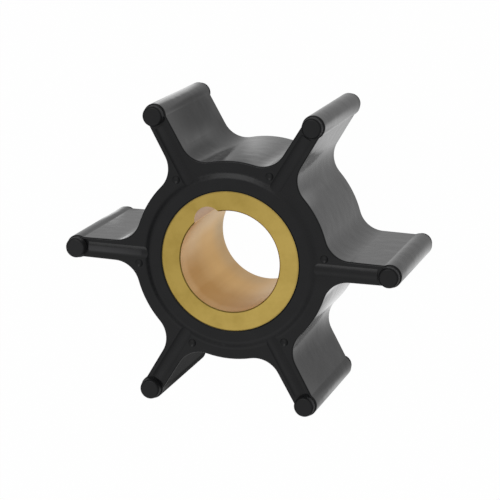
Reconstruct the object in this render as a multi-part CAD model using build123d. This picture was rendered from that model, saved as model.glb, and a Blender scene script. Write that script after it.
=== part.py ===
from build123d import *
from math import hypot, sqrt
import os

# Flexible pump impeller: a rubber wheel with six straight vanes, moulded onto a brass bush.
# All sizes are millimetres. The shaft axis is Z, and Z = 0 is the plane that the wheel stands on,
# which touches the lower ends of the six vane tips. The first vane points along +X.

# Rubber wheel, seen along the shaft
VANE_COUNT = 6
OVERALL_DIAMETER = 50.4
HUB_DIAMETER = 29.3
ROOT_FILLET = 3.8
VANE_ROOT_THICKNESS = 3.15
VANE_TIP_THICKNESS = 2.95
BEAD_DIAMETER = 3.4
NECK_FILLET = 0.5

# Rubber wheel, along the shaft
WHEEL_LENGTH = 20.35
FACE_ROUND = 0.25

# Relief that stands on both end faces of the wheel
COLLAR_DIAMETER = 23.8
COLLAR_RISE = 0.35
COLLAR_SWEEP = 1.3
RIB_WIDTH = 1.8
RIB_RISE = 0.2
RIB_TO_BEAD = 1.8
BUTTON_DIAMETER = 3.0
BUTTON_RISE = 1.1
BUTTON_ROUND = 0.4

# Small pit beside each rib, in the upper face alone
PIT_DIAMETER = 1.2
PIT_DEPTH = 0.2
PIT_FROM_COLLAR = 2.0
PIT_FROM_VANE_AXIS = 1.6

# Brass bush
BUSH_DIAMETER = 20.6
BORE_DIAMETER = 14.9
BUSH_LENGTH = 20.2
BUSH_BELOW_COLLAR = 0.0
BUSH_EDGE_CHAMFER = 0.2
BORE_CHAMFER = 0.15
KEYWAY_DIAMETER = 4.2
KEYWAY_CENTRE_RADIUS = 6.6
KEYWAY_VANE = 2

# What follows from the sizes above
VANE_PITCH = 360 / VANE_COUNT
BEAD_CIRCLE_RADIUS = (OVERALL_DIAMETER - BEAD_DIAMETER) / 2
LOWER_FACE = BUTTON_RISE
UPPER_FACE = LOWER_FACE + WHEEL_LENGTH
BUSH_TOP = UPPER_FACE + COLLAR_RISE - BUSH_BELOW_COLLAR
BUSH_BOTTOM = BUSH_TOP - BUSH_LENGTH
CUT_MARGIN = 1.0


def around_shaft(piece):
    """One copy of a piece for each vane."""
    return [Rot(Z=VANE_PITCH * n) * piece for n in range(VANE_COUNT)]


def on_both_faces(relief):
    """A relief drawn on Z = 0 and rising along +Z, set on the upper face and mirrored onto the lower one."""
    upper = Pos(Z=UPPER_FACE) * relief
    lower = Pos(Z=LOWER_FACE) * mirror(relief, about=Plane.XY)
    return [upper, lower]


def vane_plan():
    """A vane seen along the shaft. It narrows a little from the hub to the middle of its bead."""
    start = HUB_DIAMETER / 4
    end = BEAD_CIRCLE_RADIUS
    taper = (VANE_ROOT_THICKNESS - VANE_TIP_THICKNESS) / (end - HUB_DIAMETER / 2)
    start_half = (VANE_TIP_THICKNESS + taper * (end - start)) / 2
    end_half = VANE_TIP_THICKNESS / 2
    corners = [(start, -start_half), (end, -end_half), (end, end_half), (start, start_half)]
    return make_face(Polyline(corners, close=True))


def wheel_plan():
    """Outline of the rubber wheel, with the vanes swept into the hub and a bead at each tip."""
    hub = Circle(HUB_DIAMETER / 2)
    spokes = hub + around_shaft(vane_plan())
    roots = [v for v in spokes.vertices() if abs(hypot(v.X, v.Y) - HUB_DIAMETER / 2) < 1e-4]
    spokes = fillet(roots, ROOT_FILLET)
    bead = Pos(X=BEAD_CIRCLE_RADIUS) * Circle(BEAD_DIAMETER / 2)
    plan = spokes + around_shaft(bead)
    tip_half = VANE_TIP_THICKNESS / 2
    neck_reach = BEAD_CIRCLE_RADIUS - sqrt((BEAD_DIAMETER / 2) ** 2 - tip_half**2)
    necks = [v for v in plan.vertices() if abs(hypot(v.X, v.Y) - hypot(neck_reach, tip_half)) < 0.05]
    return fillet(necks, NECK_FILLET)


def wheel_body():
    """The plain moulding: the outline pulled along the shaft, with its end edges rounded."""
    body = Pos(Z=LOWER_FACE) * extrude(wheel_plan(), WHEEL_LENGTH)
    rims = body.edges().filter_by_position(Axis.Z, UPPER_FACE, UPPER_FACE)
    rims += body.edges().filter_by_position(Axis.Z, LOWER_FACE, LOWER_FACE)
    return fillet(rims, FACE_ROUND)


def collar():
    """The raised ring round the bush. Its side sweeps down into the end face in a soft S."""
    inner = BUSH_DIAMETER / 2
    edge = (COLLAR_DIAMETER / 2, COLLAR_RISE)
    foot = (COLLAR_DIAMETER / 2 + COLLAR_SWEEP, 0)
    sweep = Spline(edge, foot, tangents=((1, 0), (1, 0)))
    rest = Polyline(foot, (foot[0], -CUT_MARGIN), (inner, -CUT_MARGIN), (inner, COLLAR_RISE), edge)
    section = make_face(Plane.XZ * (sweep + rest))
    return revolve(section, Axis.Z)


def rib():
    """The low rounded ridge along the end of a vane, from the collar almost to the bead."""
    half = RIB_WIDTH / 2
    start = COLLAR_DIAMETER / 2
    end = BEAD_CIRCLE_RADIUS - RIB_TO_BEAD
    crown = ThreePointArc((half, 0), (0, RIB_RISE), (-half, 0))
    sides = Polyline((-half, 0), (-half, -CUT_MARGIN), (half, -CUT_MARGIN), (half, 0))
    section = make_face(Plane.YZ * (crown + sides))
    return extrude(Pos(X=start) * section, end - start)


def button():
    """The round stud that stands on the end of a bead and wipes the pump's end plate."""
    stud = Pos(X=BEAD_CIRCLE_RADIUS) * Cylinder(
        BUTTON_DIAMETER / 2, BUTTON_RISE + CUT_MARGIN, align=(Align.CENTER, Align.CENTER, Align.MAX)
    )
    stud = Pos(Z=BUTTON_RISE) * stud
    return fillet(stud.edges().group_by(Axis.Z)[-1], BUTTON_ROUND)


def pit():
    """A shallow round pit in the upper face, in the corner between a rib and the collar."""
    ball_radius = ((PIT_DIAMETER / 2) ** 2 + PIT_DEPTH**2) / (2 * PIT_DEPTH)
    place = Pos(COLLAR_DIAMETER / 2 + PIT_FROM_COLLAR, PIT_FROM_VANE_AXIS, UPPER_FACE)
    return place * Pos(Z=ball_radius - PIT_DEPTH) * Sphere(ball_radius)


def rubber_wheel():
    """The whole rubber moulding, with the seat that the bush is bonded into."""
    wheel = wheel_body()
    for relief in (collar(), *around_shaft(rib()), *around_shaft(button())):
        wheel += on_both_faces(relief)
    seat_length = WHEEL_LENGTH + 2 * (COLLAR_RISE + CUT_MARGIN)
    seat = Pos(Z=(LOWER_FACE + UPPER_FACE) / 2) * Cylinder(BUSH_DIAMETER / 2, seat_length)
    return wheel - seat - around_shaft(pit())


def brass_bush():
    """The bush that the wheel is bonded to, bored for the drive shaft and grooved for its round key."""
    bush = Cylinder(BUSH_DIAMETER / 2, BUSH_LENGTH) - Cylinder(BORE_DIAMETER / 2, BUSH_LENGTH)
    rims = bush.edges().filter_by(GeomType.CIRCLE).sort_by(SortBy.RADIUS)
    bush = chamfer(rims[-2:], BUSH_EDGE_CHAMFER)
    bore_rims = bush.edges().filter_by(GeomType.CIRCLE).sort_by(SortBy.RADIUS)[:2]
    bush = chamfer(bore_rims, BORE_CHAMFER)
    groove = Pos(X=KEYWAY_CENTRE_RADIUS) * Cylinder(KEYWAY_DIAMETER / 2, BUSH_LENGTH)
    bush -= Rot(Z=VANE_PITCH * KEYWAY_VANE) * groove
    return Pos(Z=(BUSH_BOTTOM + BUSH_TOP) / 2) * bush


def write_parts():
    """Writes one STEP file for each piece."""
    os.makedirs("parts", exist_ok=True)
    pieces = {"rubber_wheel": rubber_wheel(), "brass_bush": brass_bush()}
    for name, piece in pieces.items():
        export_step(piece, f"parts/{name}.step")
        print(name, "volume", round(piece.volume), "mm3, size", piece.bounding_box().size)


write_parts()
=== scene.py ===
# %% [markdown]
# # A pump impeller
#
# This is the flexible impeller of a small cooling-water pump. A black rubber wheel with six vanes is
# moulded onto a brass bush, and the pump's shaft turns it by a round key in the groove of the bush. Both
# pieces come finished from the CAD model, in metres, with the shaft axis along Z and the wheel lying flat
# on Z = 0. So this lesson builds no shapes of its own. It teaches how two plain solids get a convincing
# rubber and a convincing brass, and how a white studio is lit so that black rubber still shows its form.

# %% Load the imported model
import bpy
from math import cos, radians
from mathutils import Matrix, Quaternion, Vector


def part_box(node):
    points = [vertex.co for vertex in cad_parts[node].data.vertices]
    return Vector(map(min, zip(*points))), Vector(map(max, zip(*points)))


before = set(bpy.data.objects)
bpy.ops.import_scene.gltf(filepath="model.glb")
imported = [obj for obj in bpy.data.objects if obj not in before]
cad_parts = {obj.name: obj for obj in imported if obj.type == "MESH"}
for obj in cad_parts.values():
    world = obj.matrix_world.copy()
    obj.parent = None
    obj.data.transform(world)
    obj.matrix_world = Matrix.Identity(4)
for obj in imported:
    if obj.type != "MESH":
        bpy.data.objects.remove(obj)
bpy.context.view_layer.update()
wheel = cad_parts["rubber_wheel"]
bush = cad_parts["brass_bush"]
print("pieces:", wheel.name, "and", bush.name)

# %% [markdown]
# ## Where things are
#
# The finishes need to know a few places on the object, such as the height of the wheel's flat face. They
# could be typed in, but then they would be wrong as soon as the model changes. It is safer to measure the
# pieces. Only the reliefs that stand on the face are given: the buttons on the vane tips, the low
# ribs, and the collar.

# %% Measure the wheel and the bush
BUTTON_RISE = 0.0011
RIB_RISE = 0.0002
COLLAR_FOOT = 0.0132

wheel_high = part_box("rubber_wheel")[1]
bush_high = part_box("brass_bush")[1]
FACE_HEIGHT = wheel_high.z - BUTTON_RISE
BUSH_RADIUS = bush_high.x
BORE_RADIUS = min(Vector((v.co.x, v.co.y)).length for v in bush.data.vertices)
print("face of the wheel at", round(FACE_HEIGHT * 1000, 2), "mm")
print("bush radius", round(BUSH_RADIUS * 1000, 2), "mm, bore radius", round(BORE_RADIUS * 1000, 2), "mm")

# %% [markdown]
# ## Shader maths that reads like maths
#
# A finish is mostly arithmetic on patterns: this much noise, less near the axis, more on top. In Blender
# each sum is a node, and wiring them by hand hides the idea. So a small class wraps a node's output.
# Adding or multiplying two of them makes the Math node, and the code keeps looking like the formula. The
# reflected forms let a plain number stand first, as in 1.0 - mask.

# %% A signal, which sums and products can be written with
class Signal:
    """One output of a node. The usual operators add the Math nodes that work them out."""

    def __init__(self, finish, socket):
        self.finish = finish
        self.socket = socket

    def math(self, operation, first, second):
        return self.finish.node("ShaderNodeMath", {"operation": operation}, {0: first, 1: second})

    def __add__(self, other):
        return self.math("ADD", self, other)

    def __radd__(self, other):
        return self.math("ADD", other, self)

    def __sub__(self, other):
        return self.math("SUBTRACT", self, other)

    def __rsub__(self, other):
        return self.math("SUBTRACT", other, self)

    def __mul__(self, other):
        return self.math("MULTIPLY", self, other)

    def __rmul__(self, other):
        return self.math("MULTIPLY", other, self)


print("signals can be added, subtracted and multiplied")

# %% [markdown]
# The second helper is the finish itself: one node tree, and the single method by which any other node is
# made. A node's settings go in before its values, because a setting such as a mix's kind decides which
# sockets there are. A few patterns come back so often that they get names of their own: a soft step,
# noise, streaks and a bump.

# %% A finish, which makes every other node
class Finish:
    """A node tree, and the one way in which nodes are added to it."""

    def __init__(self, owner):
        owner.use_nodes = True
        self.owner = owner
        self.tree = owner.node_tree
        self.tree.nodes.clear()

    def node(self, kind, settings=None, values=None, output=0):
        made = self.tree.nodes.new(kind)
        for name, setting in (settings or {}).items():
            setattr(made, name, setting)
        for name, value in (values or {}).items():
            if isinstance(value, Signal):
                self.tree.links.new(value.socket, made.inputs[name])
            else:
                made.inputs[name].default_value = value
        return Signal(self, made.outputs[output]) if made.outputs else made

    def split(self, vector):
        """The three numbers of a place or a direction."""
        first = self.node("ShaderNodeSeparateXYZ", None, {"Vector": vector})
        return [Signal(self, socket) for socket in first.socket.node.outputs]

    def vector(self, operation, first, second, output=0):
        values = {0: first} if second is None else {0: first, 1: second}
        return self.node("ShaderNodeVectorMath", {"operation": operation}, values, output)

    def mix(self, share, first, second):
        """A colour that goes from the first to the second while share goes from 0 to 1."""
        return self.node("ShaderNodeMix", {"data_type": "RGBA"}, {0: share, 6: first, 7: second}, output=2)

    def step(self, value, start, end):
        """0 below start, 1 above end, and a soft rise between them. The two are often kept as one span."""
        settings = {"interpolation_type": "SMOOTHSTEP"}
        values = {"Value": value, "From Min": start, "From Max": end}
        return self.node("ShaderNodeMapRange", settings, values)

    def noise(self, where, scale, detail=3.0, roughness=0.5):
        values = {"Vector": where, "Scale": scale, "Detail": detail, "Roughness": roughness}
        return self.node("ShaderNodeTexNoise", None, values)

    def streaks(self, along, scale, detail=3.0):
        """Noise that changes with one number alone, as the marks of a cutting tool do."""
        settings = {"noise_dimensions": "1D"}
        return self.node("ShaderNodeTexNoise", settings, {"W": along, "Scale": scale, "Detail": detail})

    def bump(self, height, depth, under=None):
        """A surface normal with the relief of a height between 0 and 1, depth metres deep."""
        values = {"Height": height, "Distance": depth, "Strength": 1.0}
        if under:
            values["Normal"] = under
        return self.node("ShaderNodeBump", None, values)


print("finishes can hold noise, streaks, steps, mixes and bumps")

# %% [markdown]
# ## Coordinates that belong to the pump
#
# An impeller is a turned and moulded thing, so its marks follow the shaft. Object coordinates are the
# CAD's own metres here. From them come the height above the bench and the distance from the shaft axis.
# The surface's own direction tells the flat faces, which look up, from the walls.

# %% Place, height, distance from the axis and facing
class Place:
    """The coordinates of a point on the object, as signals of one finish."""

    def __init__(self, finish):
        self.point = finish.node("ShaderNodeTexCoord", output="Object")
        self.x, self.y, self.height = finish.split(self.point)
        level = finish.vector("MULTIPLY", self.point, (1.0, 1.0, 0.0))
        self.radius = finish.vector("LENGTH", level, None, output=1)
        self.facing = finish.node("ShaderNodeNewGeometry", output="Normal")
        self.up = finish.split(self.facing)[2]

    def along(self, x_share, y_share):
        """How far the point lies along a level direction."""
        return x_share * self.x + y_share * self.y


print("places know their point, height, radius and how far they face up")

# %% [markdown]
# ## Black rubber
#
# The wheel is moulded nitrile rubber. Fresh from the mould it is a deep, slightly blue black with a soft
# sheen: faces seen straight on look almost black, and walls seen at a low angle turn grey, because rubber
# mirrors its surroundings there like any smooth plastic. A dark shader of the right smoothness does that
# by itself. One flat black would still look like a drawing, so the finish is built up in layers. The
# first is a cloudy variation, which the real wheel has where the mould release dried unevenly. Noise a
# few millimetres across is enough.

# %% Rubber: the cloudy black
RUBBER_BLACK = (0.0074, 0.0078, 0.0090, 1)
RUBBER_CLOUD = (0.0112, 0.0116, 0.0130, 1)
CLOUD_SCALE = 260.0
CLOUD_SPAN = (0.35, 0.75)

rubber = Finish(bpy.data.materials.new("black_rubber"))
on_wheel = Place(rubber)
clouds = rubber.noise(on_wheel.point, CLOUD_SCALE, detail=4.0, roughness=0.6)
rubber_colour = rubber.mix(rubber.step(clouds, *CLOUD_SPAN), RUBBER_BLACK, RUBBER_CLOUD)
print("clouds in the rubber are about", round(1000 / CLOUD_SCALE, 1), "mm across")

# %% [markdown]
# Rubber holds a little pale dust, and dust lies where it can lie: on what faces up, and more in some
# clouds than in others. Three masks multiplied say just that. Painting it by hand would miss the other
# end of the wheel.

# %% Rubber: pale dust
RUBBER_DUST = (0.060, 0.060, 0.058, 1)
DUST_SCALE = 3400.0
DUST_COVER = 0.5
SPECK_SPAN = (0.70, 0.76)
LYING_SPAN = (0.2, 0.9)
DUSTY_CLOUD_SPAN = (0.45, 0.65)

specks = rubber.step(rubber.noise(on_wheel.point, DUST_SCALE, detail=2.0), *SPECK_SPAN)
can_lie = rubber.step(on_wheel.up, *LYING_SPAN)
dust = DUST_COVER * specks * can_lie * rubber.step(clouds, *DUSTY_CLOUD_SPAN)
rubber_colour = rubber.mix(dust, rubber_colour, RUBBER_DUST)
print("dust specks are about", round(1000 / DUST_SCALE, 2), "mm across")

# %% [markdown]
# Each vane carries a low rounded rib along its end. The crowns of the ribs get a painted highlight: a
# paler colour that stands in for the light they catch, strongest on one side of this wheel. The crowns are
# only a tenth of a millimetre higher than the face beside them, so a step on the height finds them
# exactly.
# It ends below the collar's height, and a step on the radius keeps it outside the collar's soft foot.

# %% Rubber: painted highlight on the crowns of the ribs
RUBBER_PAINTED_SHEEN = (0.075, 0.075, 0.079, 1)
SHEEN_LEAST = 0.02
CROWN_START = FACE_HEIGHT + 0.6 * RIB_RISE
CROWN_TOP = FACE_HEIGHT + RIB_RISE
ABOVE_CROWN_SPAN = (CROWN_TOP + 0.00005, FACE_HEIGHT + 1.5 * RIB_RISE)
OUTSIDE_COLLAR_SPAN = (COLLAR_FOOT, COLLAR_FOOT + 0.0006)
HIGHLIT_SPAN = (0.008, 0.020)

on_crown = rubber.step(on_wheel.height, CROWN_START, CROWN_TOP)
on_crown = on_crown * (1.0 - rubber.step(on_wheel.height, *ABOVE_CROWN_SPAN))
on_crown = on_crown * rubber.step(on_wheel.radius, *OUTSIDE_COLLAR_SPAN)
highlit_side = rubber.step(on_wheel.along(-1.0, 0.0), *HIGHLIT_SPAN)
# Painted highlight: paler crowns, strongest on one side of the wheel.
painted_sheen = on_crown * (SHEEN_LEAST + (1.0 - SHEEN_LEAST) * highlit_side)
rubber_colour = rubber.mix(painted_sheen, rubber_colour, RUBBER_PAINTED_SHEEN)
print("rubbed crowns from", round(CROWN_START * 1000, 2), "to", round(CROWN_TOP * 1000, 2), "mm high")

# %% [markdown]
# The buttons on the vane tips wipe the pump's end plates. Their faces get the same painted highlight on
# one side of the wheel, and their sides are painted paler all round, as a painted reflection that lifts
# their shade. A step on the height and one on the radius find them.

# %% Rubber: painted highlight and reflection on the buttons
BUTTON_SHEEN = 0.16
BUTTON_SIDE_SHEEN = 0.28
BUTTON_INNER_SPAN = (0.0215, 0.0219)
ABOVE_FACE_SPAN = (FACE_HEIGHT + 0.0001, FACE_HEIGHT + 0.0002)
BUTTON_SIDE_SPAN = (0.2, 0.8)

on_button = rubber.step(on_wheel.height, *ABOVE_FACE_SPAN)
on_button = on_button * rubber.step(on_wheel.radius, *BUTTON_INNER_SPAN)
button_side = on_button * (1.0 - rubber.step(on_wheel.up, *BUTTON_SIDE_SPAN))
# Painted light: paler button faces on one side of the wheel, and paler button sides all round.
painted_sheen = BUTTON_SHEEN * highlit_side * on_button + BUTTON_SIDE_SHEEN * button_side
rubber_colour = rubber.mix(painted_sheen, rubber_colour, RUBBER_PAINTED_SHEEN)
print("buttons start", round(BUTTON_INNER_SPAN[0] * 1000, 1), "mm from the axis")

# %% [markdown]
# A small round pit lies beside each rib, where the mould has an ejector pin. Its bottom is painted darker,
# as painted shade. Whatever faces up and yet lies under the face is inside a pit, so again no place has to
# be typed in.

# %% Rubber: painted shade in the pits
PIT_SHADE_COLOUR = (0.003, 0.003, 0.003, 1)
PIT_SHADE = 0.20
PIT_DEPTH_SPAN = (0.00003, 0.00020)
PIT_FLOOR_SPAN = (0.3, 0.6)

under_face = rubber.step(FACE_HEIGHT - on_wheel.height, *PIT_DEPTH_SPAN)
in_pit = PIT_SHADE * under_face * rubber.step(on_wheel.up, *PIT_FLOOR_SPAN)
# Painted shade: the floors of the pits are darkened.
rubber_colour = rubber.mix(in_pit, rubber_colour, PIT_SHADE_COLOUR)
print("pits are darkened by", PIT_SHADE)

# %% [markdown]
# Smoothness matters more than colour on black rubber. The walls were drawn out of a polished mould and
# are the smoothest, so they mirror the bench crisply. The end faces are a little duller. The buttons on
# the vane tips wipe the pump's end plates and are dulled more, most of all at their sides. Their feet,
# which stand on the bench, are quite matt. That gives the thin dark line at the far end of each vane.

# %% Rubber: how smooth it is where
WALL_ROUGHNESS = 0.10
CLOUD_ROUGHNESS = 0.06
FACE_ROUGHNESS = 0.13
PIT_ROUGHNESS = 0.40
BUTTON_ROUGHNESS = 0.12
BUTTON_SIDE_ROUGHNESS = 0.33
FOOT_ROUGHNESS = 0.80
FOOT_SPAN = (0.5 * BUTTON_RISE, 0.9 * BUTTON_RISE)
FACE_SPAN = (0.3, 0.9)

at_foot = 1.0 - rubber.step(on_wheel.height, *FOOT_SPAN)
rubber_roughness = WALL_ROUGHNESS + CLOUD_ROUGHNESS * clouds
rubber_roughness = rubber_roughness + FACE_ROUGHNESS * rubber.step(on_wheel.up, *FACE_SPAN)
rubber_roughness = rubber_roughness + PIT_ROUGHNESS * in_pit + BUTTON_ROUGHNESS * on_button
rubber_roughness = rubber_roughness + BUTTON_SIDE_ROUGHNESS * button_side + FOOT_ROUGHNESS * at_foot
print("rubber roughness from", WALL_ROUGHNESS, "on the walls to", FOOT_ROUGHNESS, "and more at the feet")

# %% [markdown]
# No moulding is truly flat. Three reliefs lie on top of each other, and each bump node takes the normal
# of the one below. Shallow waves millimetres wide bend the reflections. Fine draw lines run down the
# walls, made by squeezing the coordinates along the shaft so that the noise stretches that way. A very
# fine grain breaks the sheen. The waves are a few hundredths of a millimetre deep and the others a few
# thousandths, since deeper ones look like hammered metal.

# %% Rubber: waves, draw lines and grain
WAVE_SCALE = 420.0
WAVE_DEPTH = 0.00004
DRAW_LINE_SCALE = 2600.0
DRAW_LINE_DEPTH = 0.000003
DRAW_STRETCH = 0.03
GRAIN_SCALE = 5200.0
GRAIN_DEPTH = 0.000003

waves = rubber.noise(on_wheel.point, WAVE_SCALE, detail=1.0)
stretched = rubber.vector("MULTIPLY", on_wheel.point, (1.0, 1.0, DRAW_STRETCH))
draw_lines = rubber.noise(stretched, DRAW_LINE_SCALE, detail=2.0)
grain = rubber.noise(on_wheel.point, GRAIN_SCALE, detail=3.0)
rubber_normal = rubber.bump(waves, WAVE_DEPTH)
rubber_normal = rubber.bump(draw_lines, DRAW_LINE_DEPTH, rubber_normal)
rubber_normal = rubber.bump(grain, GRAIN_DEPTH, rubber_normal)
print("grain is about", round(1000 / GRAIN_SCALE, 2), "mm across")

# %% [markdown]
# The rubber shrinks a little as it cools and draws back from the brass, so a fine groove runs round the
# bush. It is far too small to model. A fourth bump lets the collar fall off over the last fifth of a
# millimetre before the bush, and that slope mirrors the dim sides of the room as a thin black line.

# %% Rubber: the fine groove round the bush
GROOVE_WIDTH = 0.00020
GROOVE_DEPTH = 0.00012

groove_rise = rubber.step(on_wheel.radius, BUSH_RADIUS, BUSH_RADIUS + GROOVE_WIDTH)
rubber_normal = rubber.bump(groove_rise, GROOVE_DEPTH, rubber_normal)
print("groove round the bush is", round(GROOVE_WIDTH * 1000, 1), "mm wide")

# %% [markdown]
# One shader takes the layers. Rubber bends light a little more than water does, and that single number
# sets how bright the walls turn at a low angle.

# %% Rubber: the shader
RUBBER_IOR = 1.48

rubber_shader = rubber.node(
    "ShaderNodeBsdfPrincipled",
    None,
    {
        "Base Color": rubber_colour,
        "Roughness": rubber_roughness,
        "Normal": rubber_normal,
        "IOR": RUBBER_IOR,
    },
)
rubber.node("ShaderNodeOutputMaterial", None, {"Surface": rubber_shader})
print("made", rubber.owner.name, "with", len(rubber.tree.nodes), "nodes")

# %% [markdown]
# ## Machined brass
#
# The bush is turned from brass bar, faced flat at its ends and bored. The face is a warm yellow, and it
# dulls in blotches as brass does in the air, more on the side that faced away from its wrapping. Two
# masks do it: noise for the blotches, and the distance along one level direction for the side, with its
# edge frayed by the noise.

# %% Brass: the tarnished face
BRASS = (0.96, 0.695, 0.19, 1)
BRASS_DULL = (0.70, 0.49, 0.115, 1)
TARNISH_SCALE = 330.0
TARNISH_FRAY = 0.004
DULL_SIDE = (-0.87, 0.50)
DULL_SIDE_SPAN = (-0.008, 0.010)
BLOTCH_SPAN = (0.35, 0.80)

brass = Finish(bpy.data.materials.new("machined_brass"))
on_bush = Place(brass)
tarnish = brass.noise(on_bush.point, TARNISH_SCALE, detail=5.0, roughness=0.6)
dull_side = brass.step(on_bush.along(*DULL_SIDE) + TARNISH_FRAY * tarnish, *DULL_SIDE_SPAN)
dulled = 0.5 * brass.step(tarnish, *BLOTCH_SPAN) + 0.5 * dull_side
face_colour = brass.mix(dulled, BRASS, BRASS_DULL)
print("tarnish blotches are about", round(1000 / TARNISH_SCALE, 1), "mm across")

# %% [markdown]
# The bore's wall is painted with light and shade. It is paler and pinker than the face near the upper end,
# as a painted highlight, and turns golden deeper in on one side, with a duller lip at the lower end, as
# painted shade. Each of the two is a product of masks: one for the side of the bore, by the distance along
# a level direction, and one for the height.

# %% Brass: painted light and shade on the wall of the bore
BORE_PALE = (0.98, 0.70, 0.38, 1)
BORE_GOLD = (0.95, 0.61, 0.245, 1)
BORE_LIP = (0.74, 0.54, 0.30, 1)
GOLD_SIDE = (-0.766 / BORE_RADIUS, -0.643 / BORE_RADIUS)
GOLD_SIDE_SPAN = (0.45, 0.75)
GOLD_SPAN = (0.010, 0.017)
LIP_SPAN = (0.003, 0.008)

gold_side = brass.step(on_bush.along(*GOLD_SIDE), *GOLD_SIDE_SPAN)
deep_in = 1.0 - brass.step(on_bush.height, *GOLD_SPAN)
at_lip = 1.0 - brass.step(on_bush.height, *LIP_SPAN)
# Painted light and shade: pale near the upper end, golden deeper in and duller at the lower lip.
wall_colour = brass.mix(gold_side * deep_in, BORE_PALE, BORE_GOLD)
wall_colour = brass.mix(gold_side * at_lip, wall_colour, BORE_LIP)
print("the bore turns golden below", round(GOLD_SPAN[1] * 1000), "mm")

# %% [markdown]
# A painted orange shade lies on the low side of the bore. It is stronger towards the upper end and weaker
# again just below the rim. Thin bands along the bore break it up. The streak pattern makes them from one
# number, the distance along a level direction, so they run the whole length of the bore.

# %% Brass: painted orange shade in the bore
BORE_ORANGE_SHADE = (0.64, 0.345, 0.088, 1)
LOW_SIDE = (-0.50 / BORE_RADIUS, -0.866 / BORE_RADIUS)
LOW_SIDE_SPAN = (0.25, 0.90)
BORE_SHADE_BASE = 0.50
BORE_SHADE_SPAN = (0.009, 0.016)
BELOW_RIM_SPAN = (0.0185, 0.0205)
BELOW_RIM_LIFT = 0.6
BAND_DIRECTION = (0.7, -0.7)
BAND_SCALE = 420.0
BAND_SHARE = 0.5

low_side = brass.step(on_bush.along(*LOW_SIDE), *LOW_SIDE_SPAN)
near_end = brass.step(on_bush.height, *BORE_SHADE_SPAN)
near_end = near_end * (1.0 - BELOW_RIM_LIFT * brass.step(on_bush.height, *BELOW_RIM_SPAN))
bands = brass.streaks(on_bush.along(*BAND_DIRECTION), BAND_SCALE, detail=2.0)
# Painted shade: orange on the low side of the bore, broken up by the bands.
bore_shade = low_side * (BORE_SHADE_BASE + (1.0 - BORE_SHADE_BASE) * near_end) + BAND_SHARE * (bands - 0.5)
bore_colour = brass.mix(bore_shade, wall_colour, BORE_ORANGE_SHADE)
print("bands in the bore are about", round(1000 / BAND_SCALE, 1), "mm apart")

# %% [markdown]
# The keyway is a half-round groove along the bore, for the key that the shaft drives the wheel by. It was
# cut last, so it is the freshest metal, a plain pinkish brass. It lies further from the axis than the
# bore's wall, and a step on the radius finds it. A second mask keeps the bore's colours to walls: the
# square of the upward share of the surface's direction is near 0 on a wall and 1 on either end face.

# %% Brass: the keyway, and walls apart from faces
KEYWAY_PINK = (0.74, 0.50, 0.32, 1)
KEYWAY_SPAN = (BORE_RADIUS + 0.00002, BORE_RADIUS + 0.00012)
NOT_WALL_SPAN = (0.01, 0.09)

in_keyway = brass.step(on_bush.radius, *KEYWAY_SPAN)
bore_colour = brass.mix(in_keyway, bore_colour, KEYWAY_PINK)
on_wall = 1.0 - brass.step(on_bush.up * on_bush.up, *NOT_WALL_SPAN)
brass_colour = brass.mix(on_wall, face_colour, bore_colour)
print("keyway starts", round(KEYWAY_SPAN[0] * 1000, 2), "mm from the axis")

# %% [markdown]
# Dirt settles in the seam where the rubber meets the brass, and the small chamfers are painted darker as
# painted shade. Drawn as lines they would look printed on. The chamfers are the only places that face half
# up, and the seam is the outermost hair's width of the bush, so two masks find them.

# %% Brass: painted shade in the chamfers, and dirt in the seam
EDGE_DIRT_AND_SHADE = (0.10, 0.065, 0.03, 1)
CHAMFER_SHADE = 0.15
SEAM_DIRT = 0.35
SEAM_WIDTH = 0.00008
PAST_WALL_SPAN = (0.30, 0.60)
NEAR_FACE_SPAN = (0.85, 0.96)

past_wall = brass.step(on_bush.up, *PAST_WALL_SPAN)
on_chamfer = past_wall * (1.0 - brass.step(on_bush.up, *NEAR_FACE_SPAN))
at_seam = brass.step(on_bush.radius, BUSH_RADIUS - SEAM_WIDTH, BUSH_RADIUS - SEAM_WIDTH / 2)
# Painted shade darkens the chamfers; the seam gets dirt.
brass_colour = brass.mix(CHAMFER_SHADE * on_chamfer, brass_colour, EDGE_DIRT_AND_SHADE)
brass_colour = brass.mix(SEAM_DIRT * at_seam, brass_colour, EDGE_DIRT_AND_SHADE)
print("seam dirt is", round(SEAM_WIDTH * 1000, 2), "mm wide")

# %% [markdown]
# A file has broken the bush's outer edge, and handling has polished it round. The model has a plain
# chamfer there, which would mirror the black collar beside it. Turning the shading's normal upwards on
# that chamfer makes it catch the light as the polished edge does, and leaves the shape alone.

# %% Brass: the polished outer edge
EDGE_WIDTH = 0.0002
EDGE_SPAN = (BUSH_RADIUS - 1.1 * EDGE_WIDTH, BUSH_RADIUS - 0.9 * EDGE_WIDTH)
STRAIGHT_UP = (0.0, 0.0, 1.0)

at_edge = past_wall * brass.step(on_bush.radius, *EDGE_SPAN)
edge_values = {0: at_edge, 4: on_bush.facing, 5: STRAIGHT_UP}
edge_normal = brass.node("ShaderNodeMix", {"data_type": "VECTOR"}, edge_values, output=1)
print("polished edge is", round(EDGE_WIDTH * 1000, 1), "mm wide")

# %% [markdown]
# The lathe leaves fine rings on the flat faces and fine threads along the bore, too small to count in a
# picture, but they spread the light and make the metal satin. One trick gives both: the radius plus the
# height is a number that changes across the rings of a face and along a bore alike, so noise of that
# single number makes rings on the face and hoops in the bore.

# %% Brass: turning marks and the shader
RING_SCALE = 9000.0
RING_DEPTH = 0.0000012
BRASS_ROUGHNESS = 0.30
TARNISH_ROUGHNESS = 0.10
RING_ROUGHNESS = 0.08

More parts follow.
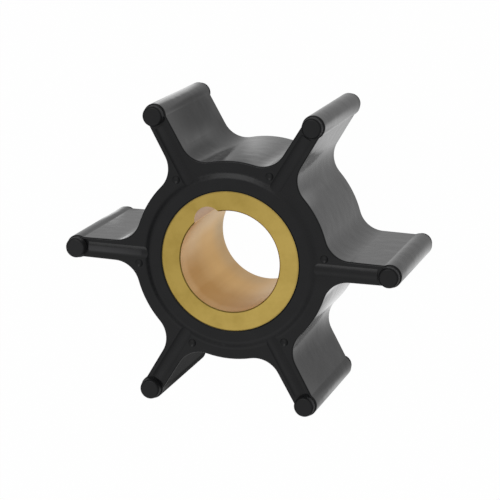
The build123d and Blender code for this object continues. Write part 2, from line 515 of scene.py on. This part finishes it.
turned = brass.streaks(on_bush.radius + on_bush.height, RING_SCALE)
brass_roughness = BRASS_ROUGHNESS + TARNISH_ROUGHNESS * tarnish + RING_ROUGHNESS * turned
brass_shader = brass.node(
    "ShaderNodeBsdfPrincipled",
    None,
    {
        "Base Color": brass_colour,
        "Roughness": brass_roughness,
        "Normal": brass.bump(turned, RING_DEPTH, edge_normal),
        "Metallic": 1.0,
    },
)
brass.node("ShaderNodeOutputMaterial", None, {"Surface": brass_shader})
print("made", brass.owner.name, "with", len(brass.tree.nodes), "nodes")

# %% [markdown]
# ## Dress the two pieces
#
# Each CAD piece keeps its mesh and its place. Only the material in its slot changes.

# %% Put the finishes on
for piece, finish in ((wheel, rubber), (bush, brass)):
    for number in range(len(piece.material_slots)):
        piece.material_slots[number].material = finish.owner
    print(piece.name, "wears", finish.owner.name)

# %% [markdown]
# ## The bench
#
# The picture has a clean white background. It doesn't come from strong light, which would wash out the
# brass. A large floor looks white to the camera because it glows a little for the camera's rays alone,
# and one part in a hundred of its plain shading stays, so the object keeps its faint shadow. Light itself
# comes off it as off paper. What makes this bench special is what the rubber mirrors.

# %% The floor
FLOOR_SIZE = 3.0

bpy.ops.mesh.primitive_plane_add(size=FLOOR_SIZE, location=(0, 0, 0))
floor = bpy.context.object
floor.name = "floor"
bench = Finish(bpy.data.materials.new("bench_white"))
spot = bench.node("ShaderNodeTexCoord", output="Object")
print("floor", FLOOR_SIZE, "m wide")

# %% [markdown]
# Black rubber has almost no colour to show, so its form is drawn by reflections. Each wall mirrors the
# bench just in front of it. A studio bench is never evenly bright down there: the wheel shades one side
# of it, and white cards stand round the other. Each patch here paints such a brighter or darker area into
# the glow that only mirrored rays see, given by its middle, the radii where it starts and stops to fade,
# and how bright it is against the rest. The edges are soft and wide, because smooth rubber would show a
# narrow edge as a blotch.

# %% Brighter and darker areas that the walls mirror
BENCH_GLOW = 0.66
SHADED_SIDE = ((-0.0125, -0.0245, 0.0), 0.0060, 0.0130, 0.10)
BETWEEN_UPPER_VANES = (
    ((-0.0060, 0.0212, 0.0), 0.0015, 0.0055, 0.60),
    ((-0.0065, 0.0158, 0.0), 0.0005, 0.0035, 0.66),
    ((-0.0030, 0.0168, 0.0), 0.0005, 0.0045, 1.25),
    ((0.0110, 0.0150, 0.0), 0.0020, 0.0050, 1.20),
    ((0.0180, 0.0170, 0.0), 0.0010, 0.0055, 1.80),
)
BETWEEN_LOWER_VANES = (
    ((0.0118, -0.0100, 0.0), 0.0020, 0.0055, 1.70),
    ((0.0155, -0.0160, 0.0), 0.0030, 0.0065, 0.78),
)
BEYOND_THE_TIPS = (
    ((0.0275, -0.0030, 0.0), 0.0016, 0.0050, 1.60),
    ((-0.0160, 0.0256, 0.0), 0.0028, 0.0058, 2.10),
    ((-0.0266, 0.0016, 0.0), 0.0010, 0.0030, 2.20),
    ((-0.0215, 0.0095, 0.0), 0.0010, 0.0045, 1.70),
    ((0.0165, -0.0245, 0.0), 0.0010, 0.0040, 1.60),
)
bench_areas = (SHADED_SIDE,) + BETWEEN_UPPER_VANES + BETWEEN_LOWER_VANES + BEYOND_THE_TIPS

mirrored_glow = BENCH_GLOW
for middle, start, end, strength in bench_areas:
    away = bench.vector("DISTANCE", spot, middle, output=1)
    mirrored_glow = mirrored_glow * (strength + (1.0 - strength) * bench.step(away, start, end))
print("the rubber mirrors", len(bench_areas), "areas of the bench")

# %% [markdown]
# Right under the wheel hardly any light reaches the bench. The Ambient Occlusion node measures how closed
# in a point is. With a reach of a millimetre and a half it darkens only the contact line, which the walls
# then mirror along their lower ends.

# %% The dark contact line
CONTACT_REACH = 0.0015
CONTACT_LEFT = 0.1
CONTACT_RAYS = {"samples": 8}
OPEN_SPAN = (0.45, 0.85)

openness = bench.node("ShaderNodeAmbientOcclusion", CONTACT_RAYS, {"Distance": CONTACT_REACH}, output=1)
in_the_open = bench.step(openness, *OPEN_SPAN)
mirrored_glow = mirrored_glow * (CONTACT_LEFT + (1.0 - CONTACT_LEFT) * in_the_open)
print("contact line reaches", round(CONTACT_REACH * 1000, 1), "mm out")

# %% [markdown]
# Light Path tells which kind of ray asks. A camera ray gets white, a mirrored ray gets the glow of the
# areas, and all others get plain white paper. The glow goes in as a grey of the emission's colour. A mix
# stops at its second colour, so a grey twice as bright as white leaves room for the areas that are
# brighter than white.

# %% White for the camera, the glow for reflections
PAPER_WHITE = (0.90, 0.90, 0.90, 1)
WHITE_TO_CAMERA = 0.99
NO_LIGHT = (0.0, 0.0, 0.0, 1)
TWICE_WHITE = (2.0, 2.0, 2.0, 1)

seen = bench.node("ShaderNodeLightPath", output="Is Camera Ray")
mirrored = bench.node("ShaderNodeLightPath", output="Is Glossy Ray")
brightness = seen + (1.0 - seen) * mirrored_glow
glow_colour = bench.mix(0.5 * brightness, NO_LIGHT, TWICE_WHITE)
paper = bench.node("ShaderNodeBsdfDiffuse", None, {"Color": PAPER_WHITE})
glow = bench.node("ShaderNodeEmission", None, {"Color": glow_colour, "Strength": 1.0})
glow_share = WHITE_TO_CAMERA * seen + mirrored
surface = bench.node("ShaderNodeMixShader", None, {0: glow_share, 1: paper, 2: glow})
bench.node("ShaderNodeOutputMaterial", None, {"Surface": surface})
floor.data.materials.append(bench.owner)
print("made", bench.owner.name, "with", len(bench.tree.nodes), "nodes")

# %% [markdown]
# ## The room
#
# The world is the rest of the studio: dim at the sides and brighter overhead, which lights the object at
# a plain level. Two soft areas are added to it, as large diffusers would be hung. The high one lies in
# the mirror direction of the collar's far slope and draws the pale arc there. The low one fills the near
# slopes, so they don't fall to pure black. To the camera the room is white, like the bench.

# %% The world
ROOM_LOW = 0.08
ROOM_HIGH = 0.44
ROOM_SPAN = (0.30, 0.90)
HIGH_DIFFUSER = ((-0.247, 0.485, 0.839), 20, 7, 0.54)
LOW_DIFFUSER = ((-0.253, -0.779, 0.574), 40, 15, 0.22)

world = bpy.data.worlds.new("studio")
bpy.context.scene.world = world
room = Finish(world)
way = room.node("ShaderNodeTexCoord", output="Generated")
rise = room.split(way)[2]
room_light = ROOM_LOW + (ROOM_HIGH - ROOM_LOW) * room.step(rise, *ROOM_SPAN)
for middle, rim, core, strength in (HIGH_DIFFUSER, LOW_DIFFUSER):
    towards = room.vector("DOT_PRODUCT", way, middle, output=1)
    room_light = room_light + strength * room.step(towards, cos(radians(rim)), cos(radians(core)))
looked_at = room.node("ShaderNodeLightPath", output="Is Camera Ray")
room_brightness = room_light + (1.0 - room_light) * looked_at
room_colour = room.mix(0.5 * room_brightness, NO_LIGHT, TWICE_WHITE)
sky = room.node("ShaderNodeBackground", None, {"Color": room_colour, "Strength": 1.0})
room.node("ShaderNodeOutputWorld", None, {"Surface": sky})
print("the room gives", ROOM_HIGH, "from above and", ROOM_LOW, "from the sides")

# %% [markdown]
# ## Light
#
# One small weak lamp stands beyond the top of the picture, as a window would. The room alone would light
# the object from everywhere, and a shadow needs a direction. It also puts the fine glints on the rims of
# the buttons.

# %% The window
WINDOW_PLACE = Vector((-0.16, 0.32, 0.55))
WINDOW_SIZE = 0.25
WINDOW_POWER = 0.12
object_middle = Vector((0, 0, wheel_high.z / 2))

window = bpy.data.objects.new("window", bpy.data.lights.new("window", "AREA"))
bpy.context.scene.collection.objects.link(window)
window.data.size = WINDOW_SIZE
window.data.energy = WINDOW_POWER
window.location = WINDOW_PLACE
window.rotation_euler = (WINDOW_PLACE - object_middle).to_track_quat("Z", "Y").to_euler()
print("window of", WINDOW_POWER, "W,", round((WINDOW_PLACE - object_middle).length, 2), "m away")

# %% [markdown]
# ## Camera
#
# The photograph looks down on the flat face from about 20 degrees off the shaft axis, with a long lens.
# The place was found by matching the bush's circles and the vane tips in the picture. The camera is then
# turned about its own axis until one vane points to the right.

# %% The camera
CAMERA_PLACE = Vector((0.08381, 0.07268, 0.28873))
CAMERA_AIM = Vector((-0.00006, -0.00065, 0.0117))
CAMERA_ROLL = radians(-127.85)
SENSOR_WIDTH = 36.0
LENS = 145.3
SHIFT = 0.0006

camera = bpy.data.objects.new("camera", bpy.data.cameras.new("camera"))
bpy.context.scene.collection.objects.link(camera)
camera.location = CAMERA_PLACE
level_view = (CAMERA_PLACE - CAMERA_AIM).to_track_quat("Z", "Y")
camera.rotation_euler = (level_view @ Quaternion((0, 0, 1), CAMERA_ROLL)).to_euler()
camera.data.sensor_width = SENSOR_WIDTH
camera.data.lens = LENS
camera.data.shift_x = SHIFT
camera.data.clip_start = 0.01
bpy.context.scene.camera = camera
bpy.context.scene.view_settings.view_transform = "Standard"
print("camera", round((CAMERA_PLACE - CAMERA_AIM).length * 1000), "mm from the object, lens", LENS, "mm")
